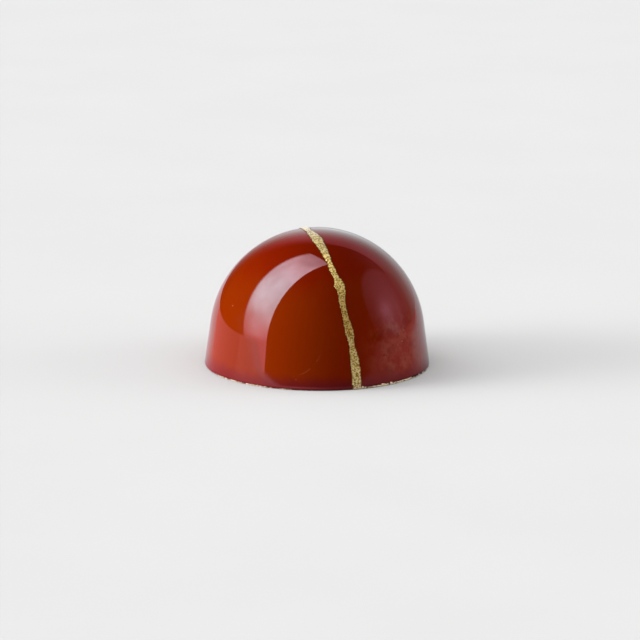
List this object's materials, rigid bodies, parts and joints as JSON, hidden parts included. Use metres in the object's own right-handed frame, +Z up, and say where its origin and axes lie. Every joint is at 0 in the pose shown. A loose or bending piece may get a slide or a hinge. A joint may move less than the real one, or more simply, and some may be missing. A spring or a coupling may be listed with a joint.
{
  "type": "chocolate praline",
  "caption": "Moulded chocolate praline: a glossy red dome on a tapered skirt with a flat foot, crossed by a freehand gold vein.",
  "frame": {"origin": "centre of the flat foot, on the surface the praline stands on", "axes": "+Z up through the crown, the axis the praline is turned about; the front faces -Y and +X is to its right"},
  "size_m": [0.03, 0.03, 0.0182],
  "materials": {
    "red_shell": "high gloss, deep orange-red cocoa butter over chocolate",
    "gold_lustre": "grainy gold lustre powder in a raised freehand line",
    "foot_chocolate": "satin dark chocolate, scraped level"
  },
  "bodies": {
    "root": {"praline_body": "red_shell"}
  },
  "joints": []
}
